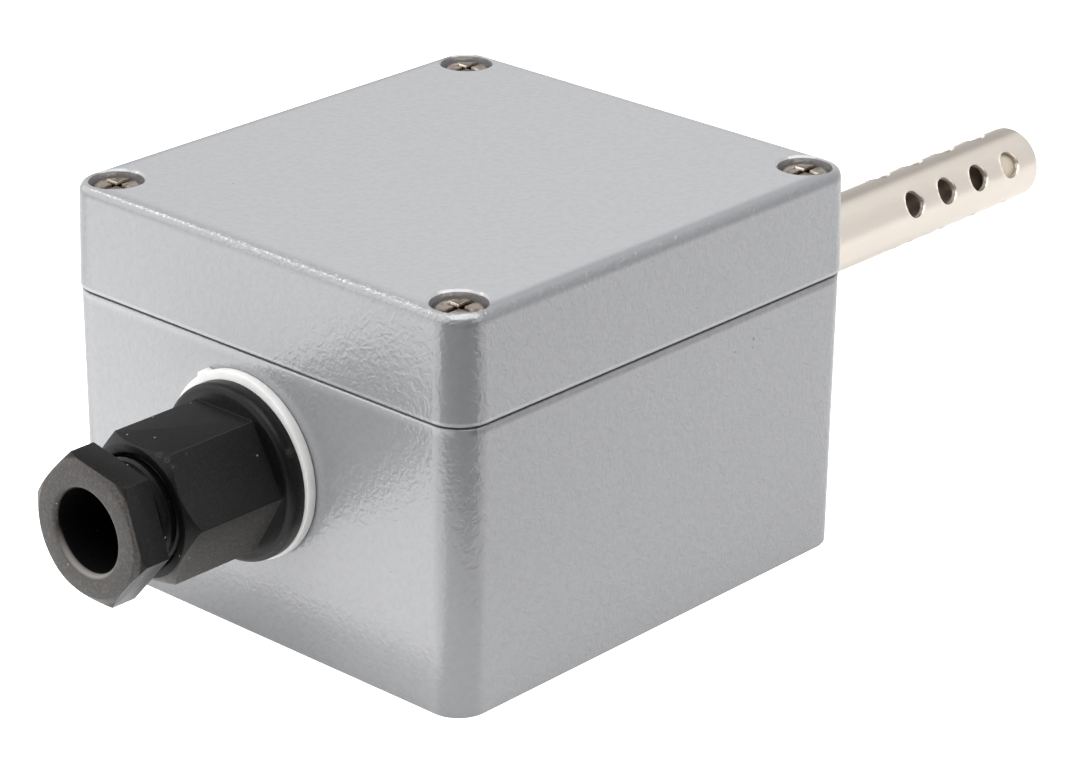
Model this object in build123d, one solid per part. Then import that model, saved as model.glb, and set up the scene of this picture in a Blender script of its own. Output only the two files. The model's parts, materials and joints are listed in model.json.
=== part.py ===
from build123d import *
import os
from math import cos, radians, sin, sqrt, tan

# Air temperature probe with a die-cast connection head.
# Millimetres, +Z up. The origin is the centre of the base's underside, the probe runs
# along +X, and the cable gland leaves on -X.

# Enclosure
box_x = 80.0  # outside, at the lid's edge
box_y = 75.0
box_z = 57.0
lid_z = 15.25  # height of the lid alone
seam_gap = 0.3  # dark line between lid and base
base_inset = 0.15  # the base stands inside the lid's edge by this
lid_draft = 1.35  # degrees, walls lean in towards the top
base_draft = 0.5  # degrees, walls lean in towards the bottom
corner_r = 5.0
top_edge_r = 1.5
rim_edge_r = 0.3
wall = 3.5
floor_t = 3.5
top_t = 3.0
cavity_r = 3.5
cavity_floor_r = 1.5

# Seal between lid and base
groove_lip = 0.7  # metal between cavity and groove
groove_w = 1.8
groove_depth = 2.4
tongue_w = 0.9
tongue_h = 1.6
gasket_side_gap = 0.1

# Wall fixing holes, under the lid and outside the seal
fix_inset_x = 14.0  # from the lid's outside faces
fix_inset_y = 6.0
fix_hole_r = 2.3
fix_passage_r = 4.0
fix_seat_t = 4.0
fix_rib = 1.0  # metal between passage and groove

# Lid screws, M4
screw_inset = 5.3  # from the lid's outside faces
screw_r = 1.95
screw_neck_r = 1.5
screw_head_r = 3.5
screw_head_h = 2.6
screw_head_edge_r = 1.0
screw_sink = 0.75  # head top below the lid's top
screw_pitch = 0.7
screw_turns = 11  # until the screw is out of the base
screw_clear = 0.3  # tip above the base when the screw is out
screw_tip = 0.5
head_gap = 0.35  # radial, head in its counterbore
counterbore_break = 0.3
web_gap = 0.2  # radial, thread through the lid
tapped_spare = 4.6  # hole below the screw's tip
slot_w = 1.0
slot_depth = 0.8
cross_span = 4.2
cross_w = 1.0
cross_depth = 1.6
cross_taper = 9.0

# Captive washers that hold the lid screws in the lid
retainer_t = 0.9
retainer_r = 3.5
retainer_gap = 0.3  # radial, in the lid's recess
retainer_spare = 0.2  # recess above a raised washer

# Running and seating clearances
thread_gap = 0.05  # radial, a screw in its tapped hole
hole_gap = 0.15  # radial, a threaded spigot in a plain hole
ring_gap = 0.15  # radial, a loose ring in its bore
slip_gap = 0.05  # radial, a piece bonded or pushed into a bore
rest_gap = 0.3  # free length ahead of the seal

# Cable gland on the -X wall
gland_y = 1.95
gland_z = 25.2
nut_bore_r = 5.9
nut_wall = 1.7  # round the nut's bore
nut_hex_wall = 1.65  # from the nut's thread to its flats
nut_hex_t = 5.0
nut_turned = 49.0  # degrees
nut_gap = 3.9  # between nut and body
nut_front_in = 0.15  # front circle inside the flats
nut_chamfer = 1.1  # along the axis
nut_mouth_r = 0.7
nut_pitch = 1.5
nut_turns = 2.5
nut_hold = 2.35  # thread still engaged when undone
gland_hex_wall = 1.8  # from the nut's thread to the body's flats
gland_hex_len = 15.9
gland_front_in = 0.2
gland_hex_chamfer = 1.5  # along the axis
gland_mouth_w = 0.5  # lead-in round the nut's thread
gland_mouth_depth = 1.0
gland_flange_w = 3.15  # beyond the flats
gland_flange_t = 2.5
gland_flange_edge_r = 1.1
gland_washer_w = 0.75  # beyond the flange
gland_washer_t = 1.5
gland_washer_play = 0.6  # radial, over the spigot
gland_washer_shift_y = 0.1
gland_washer_shift_z = 0.4
gland_step = 0.3  # rear bore inside the nut's bore
gland_spigot_wall = 2.4
gland_spigot_free = 1.7  # beyond the locknut
thrust_ring_t = 1.2
thrust_ring_step = 0.5  # bore inside the nut's bore
seal_len = 6.8
seal_step = 0.8  # inside the nut's thread
seal_bore_r = 4.5
locknut_wall = 3.0
locknut_t = 4.5
locknut_chamfer = 0.7

# Perforated probe on the +X wall
probe_y = 0.0
probe_z = 24.7
probe_len = 89.5  # beyond the box
tube_r = 5.7
tube_wall = 0.8
tube_edge = 0.25
vent_r = 2.05
vent_rows = 4
vent_stations = 4
vent_pitch = 8.3
vent_last = 7.1  # last station to the tip
vent_turned = 63.0  # degrees
bushing_wall = 2.25
bushing_hex_wall = 3.0  # from spigot to flats
bushing_hex_t = 4.0
bushing_chamfer = 0.8
bushing_collar_len = 3.0
bushing_spigot_free = 1.5
probe_seal_in = 0.4  # inside the bushing's flats
probe_seal_t = 1.0
plug_recess = 0.6
plug_past = 1.85  # beyond the last vents
plug_socket = 2.0

# Measuring insert in the probe
capsule_r = 2.5
capsule_wall = 0.3
capsule_tip_r = 1.2
capsule_mouth = 4.0  # capsule mouth outside the box's inner wall face
spacer_inset = 2.0
spacer_len = 6.0
potting_len = 5.0
element_r = 1.4
element_len = 16.0
element_inset = 2.0  # to the capsule's closed end

# Leads from the element to the terminals
lead_r = 0.6
lead_core_r = 0.4
lead_clear = 0.55  # leads to the capsule's wall
lead_strip = 1.0  # bare core outside the terminal block
lead_beside = 0.3  # core to the screw beside it
lead_bend_r = 6.0
lead_drop = 5.5  # foot of the slope outside the terminal block
lead_out = 3.5  # straight out of the bushing

# Terminal block
standoff_h = 3.0
standoff_wall = 1.7
block_base_t = 5.0
block_x = 22.0
poles = 3
pole_pitch = 9.0
barrier_t = 1.4
barrier_over = 0.55  # above a raised screw
ear_t = 4.0
ear_w = 9.0
ear_screw_out = 3.6  # from the last barrier to the mounting screw
bar_margin = 1.5  # inside the block's ends
bar_play = 0.3  # each side, between barriers
bar_t = 1.2
clamp_play = 0.3  # each side, inside the bar
clamp_end = 0.7  # clamp to the bar's end
clamp_t = 1.0
m3_r = 1.45
m3_head_r = 2.75
m3_head_h = 1.9
m3_len = 6.0
m3_pitch = 0.5
m3_turns = 5
m3_slot_w = 0.7
m3_slot_depth = 0.9
block_screw_len = 6.0
block_hole_r = 1.8
blind_floor = 0.4  # below a screw's tip

# Earth terminal
earth_x = -25.0
earth_y = -15.0
earth_boss_wall = 2.5
earth_boss_h = 5.0
earth_over = 0.8  # clamp beyond the screw head
earth_len = 7.0

# Enclosure, from the sizes above
lid_bottom = box_z - lid_z
base_top = lid_bottom - seam_gap
tongue_top = base_top + tongue_h
groove_top = lid_bottom + groove_depth
seal_band = groove_lip + groove_w
fix_x = box_x / 2 - fix_inset_x
fix_y = box_y / 2 - fix_inset_y
bay_x = fix_x - fix_passage_r - fix_rib - seal_band
end_y = fix_y - fix_passage_r - fix_rib - seal_band
cavity_x = box_x / 2 - wall
cavity_y = box_y / 2 - wall


def outside_x(z):
    """Half the base's outside length at height z."""
    return box_x / 2 - base_inset - (base_top - z) * tan(radians(base_draft))


# Lid screws
screw_x = box_x / 2 - screw_inset
screw_y = box_y / 2 - screw_inset
screw_travel = screw_turns * screw_pitch
head_seat = box_z - screw_sink - screw_head_h
screw_end = base_top + screw_clear - screw_travel
counterbore_r = screw_head_r + head_gap
retainer_z = lid_bottom + thread_gap
recess_top = retainer_z + retainer_t + screw_travel + retainer_spare

# Gland, radii
nut_shank_r = nut_bore_r + nut_wall
nut_hex = 2 * (nut_shank_r + nut_hex_wall)
gland_hex = 2 * (nut_shank_r + gland_hex_wall)
gland_flange_r = gland_hex / 2 + gland_flange_w
gland_washer_r = gland_flange_r + gland_washer_w
gland_bore_r = nut_bore_r - gland_step
gland_spigot_r = gland_bore_r + gland_spigot_wall
seal_r = nut_shank_r - seal_step

# Gland, places outwards from the wall
nut_travel = nut_turns * nut_pitch
gland_seat = outside_x(gland_z + gland_washer_shift_z + gland_washer_r)
gland_inside = cavity_x - gland_seat
gland_flange_back = gland_washer_t
gland_flange_front = gland_flange_back + gland_flange_t
gland_front = gland_flange_front + gland_hex_len
nut_back = gland_front + nut_gap
nut_front = nut_back + nut_hex_t
shank_end = gland_front - nut_travel - nut_hold
ring_back = shank_end - thrust_ring_t
seal_front = ring_back - rest_gap
seal_back = seal_front - seal_len
gland_rear = gland_inside - locknut_t - gland_spigot_free

# Probe, radii
tube_bore_r = tube_r - tube_wall
bushing_spigot_r = tube_r + slip_gap + bushing_wall
bushing_hex = 2 * (bushing_spigot_r + bushing_hex_wall)
probe_seal_r = bushing_hex / 2 - probe_seal_in
capsule_bore_r = capsule_r - capsule_wall
lead_circle_r = capsule_bore_r - lead_r - lead_clear

# Probe, places outwards from the wall
probe_seat = outside_x(probe_z + probe_seal_r)
probe_inside = cavity_x - probe_seat
bushing_back = probe_seal_t
bushing_front = bushing_back + bushing_hex_t
probe_rear = probe_inside - locknut_t - bushing_spigot_free
probe_tip = box_x / 2 + probe_len - probe_seat
plug_front = probe_tip - plug_recess
plug_back = probe_tip - vent_last - vent_r - plug_past
capsule_back = probe_inside + capsule_mouth
capsule_front = plug_back + plug_socket
element_front = capsule_front - capsule_wall - element_inset
element_back = element_front - element_len

# Terminals
bar_x = block_x - 2 * bar_margin
bar_y = pole_pitch - barrier_t - 2 * bar_play
clamp_side = bar_y - 2 * clamp_play
terminal_x = bar_x / 2 - clamp_end - clamp_side / 2
standoff_r = m3_r + standoff_wall
block_z = floor_t + standoff_h
bar_z = block_z + block_base_t
bar_top = bar_z + bar_t
core_gap = 2 * lead_core_r + thread_gap
lead_side = m3_r + lead_beside + lead_core_r
terminal_travel = m3_turns * m3_pitch
barrier_top = bar_top + core_gap + clamp_t + m3_head_h + terminal_travel + barrier_over
block_half_y = poles * pole_pitch / 2 + barrier_t / 2
ear_screw_y = block_half_y + ear_screw_out
earth_top = floor_t + earth_boss_h
earth_boss_r = screw_r + earth_boss_wall

gland_axis = Plane(origin=(-gland_seat, gland_y, gland_z), x_dir=(0, -1, 0), z_dir=(-1, 0, 0))
probe_axis = Plane(origin=(probe_seat, probe_y, probe_z), x_dir=(0, 1, 0), z_dir=(1, 0, 0))


# Helpers

def rod(r, z0, z1):
    """Round bar on the Z axis between two heights."""
    return Pos(0, 0, z0) * Cylinder(r, z1 - z0, align=(Align.CENTER, Align.CENTER, Align.MIN))


def ring(r_out, r_in, z0, z1):
    return rod(r_out, z0, z1) - rod(r_in, z0, z1)


def turned(*profile):
    """Body of revolution about Z from (radius, height) points."""
    return revolve(make_face(Plane.XZ * Polyline(*profile, close=True)), Axis.Z)


def hex_bar(across_flats, z0, z1, turn=0.0):
    plan = RegularPolygon(across_flats / 2, 6, major_radius=False, rotation=turn)
    return extrude(Pos(0, 0, z0) * plan, z1 - z0)


def chamfered_hex(across_flats, z0, z1, front_in, chamfer_len, turn=0.0):
    """Hexagon with its front corners turned down to a circle just inside the flats."""
    corner = across_flats / sqrt(3)
    front_r = across_flats / 2 - front_in
    envelope = turned(
        (0, z0), (corner, z0), (corner, z1 - chamfer_len), (front_r, z1), (0, z1)
    )
    return hex_bar(across_flats, z0, z1, turn) & envelope


def corners(x, y):
    return [(x, -y), (-x, -y), (-x, y), (x, y)]


def drafted_block(x, y, z0, height, angle):
    """Rounded block that narrows from z0; a negative height goes down."""
    plan = Pos(0, 0, z0) * RectangleRounded(x, y, corner_r)
    down = (0, 0, 1 if height > 0 else -1)
    return extrude(plan, abs(height), dir=down, taper=angle)


def cavity_outline(grow=0.0):
    """Inside plan of the box: full width between the corner blocks."""
    plan = Rectangle(2 * cavity_x, 2 * end_y) + Rectangle(2 * bay_x, 2 * cavity_y)
    plan = fillet(plan.vertices(), cavity_r)
    return offset(plan, grow) if grow else plan


def outline_band(inner, outer, z0, z1):
    band = cavity_outline(outer) - cavity_outline(inner)
    return extrude(Pos(0, 0, z0) * band, z1 - z0)


# Enclosure

def enclosure_base():
    """Die-cast tub with corner blocks, seal tongue, bosses and wall openings."""
    body = drafted_block(box_x - 2 * base_inset, box_y - 2 * base_inset, base_top, -base_top, base_draft)
    body = fillet(body.edges().group_by(Axis.Z)[-1], rim_edge_r)
    body = fillet(body.edges().group_by(Axis.Z)[0], rim_edge_r)
    cavity = extrude(Pos(0, 0, floor_t) * cavity_outline(), base_top)
    body -= fillet(cavity.edges().group_by(Axis.Z)[0], cavity_floor_r)
    tongue_in = groove_lip + (groove_w - tongue_w) / 2
    body += outline_band(tongue_in, tongue_in + tongue_w, base_top, tongue_top)
    for x, y in corners(screw_x, screw_y):
        body -= Pos(x, y) * rod(screw_r + thread_gap, screw_end - tapped_spare, base_top)
    for x, y in corners(fix_x, fix_y):
        body -= Pos(x, y) * rod(fix_passage_r, fix_seat_t, base_top)
        body -= Pos(x, y) * rod(fix_hole_r, 0, fix_seat_t)
    for side in (-1, 1):
        body += Pos(0, side * ear_screw_y) * rod(standoff_r, floor_t, block_z)
        hole_end = block_z + ear_t - block_screw_len - blind_floor
        body -= Pos(0, side * ear_screw_y) * rod(m3_r + thread_gap, hole_end, block_z)
    body += Pos(earth_x, earth_y) * rod(earth_boss_r, floor_t, earth_top)
    earth_tip = earth_top + clamp_t - earth_len
    body -= Pos(earth_x, earth_y) * rod(screw_r + thread_gap, earth_tip - blind_floor, earth_top)
    body -= gland_axis * rod(gland_spigot_r + hole_gap, -wall * 2, wall)
    body -= probe_axis * rod(bushing_spigot_r + hole_gap, -wall * 2, wall)
    return body


def enclosure_lid():
    """Die-cast cap with a seal groove and stepped holes for the captive screws."""
    body = drafted_block(box_x, box_y, lid_bottom, lid_z, lid_draft)
    body = fillet(body.edges().group_by(Axis.Z)[-1], top_edge_r)
    body = fillet(body.edges().group_by(Axis.Z)[0], rim_edge_r)
    hollow = extrude(Pos(0, 0, lid_bottom) * cavity_outline(), lid_z - top_t)
    body -= fillet(hollow.edges().group_by(Axis.Z)[-1], cavity_floor_r)
    body -= outline_band(groove_lip, seal_band, lid_bottom, groove_top)
    rim = counterbore_r + counterbore_break
    for x, y in corners(screw_x, screw_y):
        body -= Pos(x, y) * rod(retainer_r + retainer_gap, lid_bottom, recess_top)
        body -= Pos(x, y) * rod(screw_r + web_gap, lid_bottom, box_z)
        body -= Pos(x, y) * rod(counterbore_r, head_seat, box_z)
        body -= Pos(x, y) * turned((0, box_z), (rim, box_z), (0, box_z - rim))
    return body


def lid_gasket():
    """Rubber ring in the lid's groove, resting on the base's tongue."""
    return outline_band(
        groove_lip + gasket_side_gap, seal_band - gasket_side_gap, tongue_top, groove_top
    )


def lid_screw():
    """M4 pan head with a slot and a cross, and a turned-down neck for its washer."""
    head_top = head_seat + screw_head_h
    head = rod(screw_head_r, head_seat, head_top)
    head = fillet(head.edges().group_by(Axis.Z)[-1], screw_head_edge_r)
    slot = Pos(0, 0, head_top - slot_depth / 2) * Box(2 * screw_head_r, slot_w, slot_depth)
    plan = Rectangle(cross_span, cross_w) + Rectangle(cross_w, cross_span)
    cross = extrude(Pos(0, 0, head_top) * plan, cross_depth, dir=(0, 0, -1), taper=cross_taper)
    neck = rod(screw_neck_r, retainer_z, head_seat)
    thread = turned(
        (0, screw_end), (screw_r - screw_tip, screw_end), (screw_r, screw_end + screw_tip),
        (screw_r, retainer_z), (0, retainer_z),
    )
    return head - slot - cross + neck + thread


def screw_retainer():
    """Nylon washer that sits on the thread's shoulder and keeps the screw in the lid."""
    return ring(retainer_r, screw_neck_r + thread_gap, retainer_z, retainer_z + retainer_t)


# Cable gland

def gland_washer():
    """Nylon washer under the flange, sitting a little off centre."""
    washer = ring(gland_washer_r, gland_spigot_r + gland_washer_play, 0, gland_washer_t)
    return gland_axis * (Pos(-gland_washer_shift_y, gland_washer_shift_z) * washer)


def gland_body():
    """Moulded body: wall spigot, round flange, long hexagon, stepped bore."""
    flange = rod(gland_flange_r, gland_flange_back, gland_flange_front)
    flange = fillet(flange.edges().group_by(Axis.Z)[-1], gland_flange_edge_r)
    hexagon = chamfered_hex(
        gland_hex, gland_flange_front, gland_front, gland_front_in, gland_hex_chamfer
    )
    body = flange + hexagon + rod(gland_spigot_r, gland_rear, gland_flange_back)
    nut_hole_r = nut_shank_r + thread_gap
    body -= turned(
        (0, gland_rear), (gland_bore_r, gland_rear), (gland_bore_r, seal_back),
        (seal_r + slip_gap, seal_back), (seal_r + slip_gap, ring_back),
        (nut_hole_r, ring_back), (nut_hole_r, gland_front - gland_mouth_depth),
        (nut_shank_r + gland_mouth_w, gland_front), (0, gland_front),
    )
    return gland_axis * body


def gland_nut():
    """Compression nut: chamfered hexagon with a threaded shank and a rounded mouth."""
    hexagon = chamfered_hex(nut_hex, nut_back, nut_front, nut_front_in, nut_chamfer, nut_turned)
    nut = hexagon + rod(nut_shank_r, shank_end, nut_back) - rod(nut_bore_r, shank_end, nut_front)
    mouth = nut.edges().filter_by(GeomType.CIRCLE).group_by(Axis.Z)[-1].sort_by(SortBy.RADIUS)[0]
    return gland_axis * fillet(mouth, nut_mouth_r)


def gland_thrust_ring():
    bore_r = nut_bore_r - thrust_ring_step
    return gland_axis * ring(nut_shank_r - ring_gap, bore_r, ring_back, shank_end)


def gland_seal():
    """Rubber sleeve that closes on the cable."""
    return gland_axis * ring(seal_r, seal_bore_r, seal_back, seal_front)


def locknut(spigot_r, wall_face):
    """Flat hexagon nut against the inside of the wall, chamfered on its free side."""
    across_flats = 2 * (spigot_r + locknut_wall)
    corner = across_flats / sqrt(3)
    free = wall_face - locknut_t
    envelope = turned(
        (0, free), (corner - 2 * locknut_chamfer, free), (corner, free + locknut_chamfer),
        (corner, wall_face), (0, wall_face),
    )
    nut = hex_bar(across_flats, free, wall_face) & envelope
    return nut - rod(spigot_r + thread_gap, free, wall_face)


# Probe

def probe_tube():
    """Stainless tube, drilled through at each station in two crossing directions."""
    tube = ring(tube_r, tube_bore_r, probe_rear, probe_tip)
    tube = chamfer(tube.edges().group_by(Axis.Z)[-1].sort_by(SortBy.RADIUS)[-1], tube_edge)
    for station in range(vent_stations):
        z = probe_tip - vent_last - station * vent_pitch
        for row in range(vent_rows):
            turn = vent_turned + row * 360 / vent_rows
            drill = Rot(0, 0, turn) * (Rot(0, 90, 0) * rod(vent_r, 0, 2 * tube_r))
            tube -= Pos(0, 0, z) * drill
    return probe_axis * tube


def probe_bushing():
    """Turned hexagon bushing that carries the tube in the wall."""
    corner = bushing_hex / sqrt(3)
    envelope = turned(
        (0, bushing_back), (corner, bushing_back), (corner, bushing_front - bushing_chamfer),
        (corner - 2 * bushing_chamfer, bushing_front), (0, bushing_front),
    )
    collar_end = bushing_front + bushing_collar_len
    body = hex_bar(bushing_hex, bushing_back, bushing_front, 30) & envelope
    collar = rod(bushing_spigot_r, bushing_front, collar_end)
    body += chamfer(collar.edges().group_by(Axis.Z)[-1], bushing_chamfer)
    body += rod(bushing_spigot_r, probe_rear, bushing_back)
    return probe_axis * (body - rod(tube_r + slip_gap, probe_rear, collar_end))


def probe_seal():
    return probe_axis * ring(probe_seal_r, bushing_spigot_r + hole_gap, 0, probe_seal_t)


def probe_end_plug():
    """Round plug in the tube's end, with a socket for the capsule."""
    plug = rod(tube_bore_r - slip_gap, plug_back, plug_front)
    return probe_axis * (plug - rod(capsule_r + slip_gap, plug_back, capsule_front))


def sensor_capsule():
    """Thin closed tube round the measuring element."""
    shell = rod(capsule_r, capsule_back, capsule_front)
    shell = fillet(shell.edges().group_by(Axis.Z)[-1], capsule_tip_r)
    bore = rod(capsule_bore_r, capsule_back, capsule_front - capsule_wall)
    bore = fillet(bore.edges().group_by(Axis.Z)[-1], capsule_tip_r - capsule_wall)
    return probe_axis * (shell - bore)


def capsule_spacer():
    """Ring that centres the capsule's open end in the tube."""
    start = capsule_back + spacer_inset
    return probe_axis * ring(tube_bore_r - slip_gap, capsule_r + slip_gap, start, start + spacer_len)


def lead_place(number):
    """Where a lead lies in the capsule, across the probe's axis."""
    angle = radians(210 - 120 * number)
    return lead_circle_r * cos(angle), lead_circle_r * sin(angle)


def capsule_potting():
    """Resin in the capsule's mouth, round the leads."""
    resin = rod(capsule_bore_r, capsule_back, capsule_back + potting_len)
    for number in range(poles):
        x, y = lead_place(number)
        resin -= Pos(x, y) * rod(lead_r + slip_gap, capsule_back, capsule_back + potting_len)
    return probe_axis * resin


def sensor_element():
    """Ceramic resistance element near the capsule's closed end."""
    return probe_axis * rod(element_r, element_back, element_front)


def pole_y(number):
    return (number - (poles - 1) / 2) * pole_pitch


def lead_wire(number):
    """Insulated lead from the element to its terminal, bare at the clamp."""
    side, up = lead_place(number)
    y = probe_y + side
    z = probe_z + up
    end_side = pole_y(number) + lead_side
    end_z = bar_top + lead_core_r
    strip_x = block_x / 2 + lead_strip
    route = [
        (probe_seat + element_back, y, z),
        (probe_seat + probe_rear - lead_out, y, z),
        (block_x / 2 + lead_drop, end_side, end_z),
        (strip_x, end_side, end_z),
    ]
    path = FilletPolyline(*route, radius=lead_bend_r)
    start = Plane(origin=route[0], z_dir=(-1, 0, 0))
    cover = sweep(start * Circle(lead_r), path=path)
    end = Plane(origin=route[-1], z_dir=(-1, 0, 0))
    core_len = strip_x - terminal_x + clamp_side / 2
    return cover + extrude(end * Circle(lead_core_r), core_len)


# Terminals

def terminal_block():
    """Moulded block with barriers between the poles and two mounting ears."""
    body = Pos(0, 0, block_z + block_base_t / 2) * Box(block_x, 2 * block_half_y, block_base_t)
    for number in range(poles + 1):
        y = (number - poles / 2) * pole_pitch
        barrier = Box(block_x, barrier_t, barrier_top - block_z)
        body += Pos(0, y, (block_z + barrier_top) / 2) * barrier
    for side in (-1, 1):
        ear = extrude(SlotCenterToCenter(2 * ear_screw_y, ear_w, rotation=90), ear_t)
        keep = Pos(0, side * (block_half_y + ear_w), 0) * Box(2 * ear_w, 2 * ear_w, 4 * ear_t)
        ear = Pos(0, 0, block_z) * (ear & keep)
        body += ear - Pos(0, side * ear_screw_y) * rod(block_hole_r, block_z, block_z + ear_t)
    hole_end = bar_top + clamp_t - m3_len - blind_floor
    for x, y in terminal_places():
        body -= Pos(x, y) * rod(block_hole_r, hole_end, bar_z)
    return body


def terminal_places():
    """Screw centres: the leads' side first, then the cable's side."""
    return [(x, pole_y(number)) for x in (terminal_x, -terminal_x) for number in range(poles)]


def terminal_bar(number):
    """Brass strip that joins the two screws of a pole."""
    bar = Pos(0, pole_y(number), bar_z + bar_t / 2) * Box(bar_x, bar_y, bar_t)
    bar = chamfer(bar.edges().filter_by(Axis.Z), bar_t / 2)
    for side in (-1, 1):
        bar -= Pos(side * terminal_x, pole_y(number)) * rod(m3_r + thread_gap, bar_z, bar_top)
    return bar


def clamp_washer(side, hole_r, z):
    """Square wire clamp under a screw head, with its edges broken."""
    plate = Pos(0, 0, z + clamp_t / 2) * Box(side, side, clamp_t)
    plate = chamfer(plate.edges().group_by(Axis.Z)[-1], clamp_t / 3)
    return plate - rod(hole_r, z, z + clamp_t)


def slotted_screw(r, length, head_r, head_h, z):
    """Cheese-head screw with a slot, head underside at z."""
    head = rod(head_r, z, z + head_h)
    head = chamfer(head.edges().group_by(Axis.Z)[-1], head_h / 6)
    slot = Pos(0, 0, z + head_h - m3_slot_depth / 2) * Box(2 * head_r, m3_slot_w, m3_slot_depth)
    return head - slot + rod(r, z - length, z)


def clamp_height(x):
    """Underside of a clamp: on a lead's core, or down on the bar."""
    return bar_top + core_gap if x > 0 else bar_top


def terminal_clamp(x, y):
    return Pos(x, y) * clamp_washer(clamp_side, m3_r + thread_gap, clamp_height(x))


def terminal_screw(x, y):
    return Pos(x, y) * slotted_screw(m3_r, m3_len, m3_head_r, m3_head_h, clamp_height(x) + clamp_t)


def block_screws():
    """Two screws that hold the block on its standoffs."""
    screw = slotted_screw(m3_r, block_screw_len, m3_head_r, m3_head_h, block_z + ear_t)
    return Compound([Pos(0, side * ear_screw_y) * screw for side in (-1, 1)])


def earth_clamp():
    side = 2 * (screw_head_r + earth_over)
    return Pos(earth_x, earth_y) * clamp_washer(side, screw_r + thread_gap, earth_top)


def earth_screw():
    screw = slotted_screw(screw_r, earth_len, screw_head_r, screw_head_h, earth_top + clamp_t)
    return Pos(earth_x, earth_y) * screw


# Assembly

def all_nodes():
    nodes = {
        "enclosure_base": enclosure_base(),
        "enclosure_lid": enclosure_lid(),
        "lid_gasket": lid_gasket(),
        "gland_washer": gland_washer(),
        "gland_body": gland_body(),
        "gland_nut": gland_nut(),
        "gland_thrust_ring": gland_thrust_ring(),
        "gland_seal": gland_seal(),
        "gland_locknut": gland_axis * locknut(gland_spigot_r, gland_inside),
        "probe_tube": probe_tube(),
        "probe_bushing": probe_bushing(),
        "probe_seal": probe_seal(),
        "probe_locknut": probe_axis * locknut(bushing_spigot_r, probe_inside),
        "probe_end_plug": probe_end_plug(),
        "sensor_capsule": sensor_capsule(),
        "capsule_spacer": capsule_spacer(),
        "capsule_potting": capsule_potting(),
        "sensor_element": sensor_element(),
        "terminal_block": terminal_block(),
        "block_screws": block_screws(),
        "earth_clamp": earth_clamp(),
        "earth_screw": earth_screw(),
    }
    for number, (x, y) in enumerate(corners(screw_x, screw_y), start=1):
        nodes[f"lid_screw_{number}"] = Pos(x, y) * lid_screw()
        nodes[f"screw_retainer_{number}"] = Pos(x, y) * screw_retainer()
    for number in range(poles):
        nodes[f"lead_wire_{number + 1}"] = lead_wire(number)
        nodes[f"terminal_bar_{number + 1}"] = terminal_bar(number)
    for number, (x, y) in enumerate(terminal_places(), start=1):
        nodes[f"terminal_clamp_{number}"] = terminal_clamp(x, y)
        nodes[f"terminal_screw_{number}"] = terminal_screw(x, y)
    return nodes


os.makedirs("parts", exist_ok=True)
for name, shape in all_nodes().items():
    export_step(shape, f"parts/{name}.step")
print(f"travels: lid screw {screw_travel:.2f}, nut {nut_travel:.2f}, terminal {terminal_travel:.2f}")
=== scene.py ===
# Air temperature probe with connection head: finishes, fine detail, studio and camera.
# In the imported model's frame the base stands on z = 0 and the probe points along +X. Blender works in metres.
# Lengths in the dictionaries are millimetres, unless they are multiplied by mm or their note says metres.
import json
import math
import bmesh
import bpy
from mathutils import Matrix, Vector

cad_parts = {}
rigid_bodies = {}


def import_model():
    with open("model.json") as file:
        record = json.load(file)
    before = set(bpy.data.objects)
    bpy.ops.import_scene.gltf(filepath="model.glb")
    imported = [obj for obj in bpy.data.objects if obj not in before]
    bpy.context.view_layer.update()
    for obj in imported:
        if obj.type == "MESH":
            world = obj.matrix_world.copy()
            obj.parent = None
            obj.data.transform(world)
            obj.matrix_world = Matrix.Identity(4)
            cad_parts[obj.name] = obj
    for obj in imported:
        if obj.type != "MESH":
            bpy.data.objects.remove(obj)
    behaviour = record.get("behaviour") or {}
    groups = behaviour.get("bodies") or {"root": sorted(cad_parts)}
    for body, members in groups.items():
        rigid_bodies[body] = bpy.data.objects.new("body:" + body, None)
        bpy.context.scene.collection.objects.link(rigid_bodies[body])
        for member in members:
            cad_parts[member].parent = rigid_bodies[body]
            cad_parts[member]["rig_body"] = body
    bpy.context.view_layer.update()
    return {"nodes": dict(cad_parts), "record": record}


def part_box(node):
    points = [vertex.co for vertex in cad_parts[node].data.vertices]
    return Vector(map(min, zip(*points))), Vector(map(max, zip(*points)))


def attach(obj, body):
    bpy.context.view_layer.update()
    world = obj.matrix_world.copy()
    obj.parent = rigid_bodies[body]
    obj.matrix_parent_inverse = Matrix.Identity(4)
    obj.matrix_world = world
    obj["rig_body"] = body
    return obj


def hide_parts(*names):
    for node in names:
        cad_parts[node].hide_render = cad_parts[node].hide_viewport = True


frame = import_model()
nodes = frame["nodes"]
slotOf = {row["node"]: row["material_slot"] for row in frame["record"]["subparts"]}
mm = 0.001

# places that several pieces share
glandAxis = (-39.828, 1.95, 25.2)  # a point on the gland's axis, at the box's wall
probeAxis = (0.0, 0.0, 24.7)  # a point on the probe's axis
screwPlaces = [(34.7, -32.2), (-34.7, -32.2), (-34.7, 32.2), (34.7, 32.2)]  # X and Y of the lid's screws


# One socket that Python's operators work on; each operator adds a Math node.
class Wire:
    def __init__(self, graph, socket):
        self.graph = graph
        self.socket = socket

    def maths(self, operation, *terms):
        return self.graph.node("ShaderNodeMath", {"operation": operation}, dict(enumerate(terms)))

    def __add__(self, other):
        return self.maths("ADD", self, other)

    def __radd__(self, other):
        return self.maths("ADD", other, self)

    def __sub__(self, other):
        return self.maths("SUBTRACT", self, other)

    def __rsub__(self, other):
        return self.maths("SUBTRACT", other, self)

    def __mul__(self, other):
        return self.maths("MULTIPLY", self, other)

    def __rmul__(self, other):
        return self.maths("MULTIPLY", other, self)

    def __truediv__(self, other):
        return self.maths("DIVIDE", self, other)

    def __rtruediv__(self, other):
        return self.maths("DIVIDE", other, self)

    def __pow__(self, other):
        return self.maths("POWER", self, other)


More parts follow.
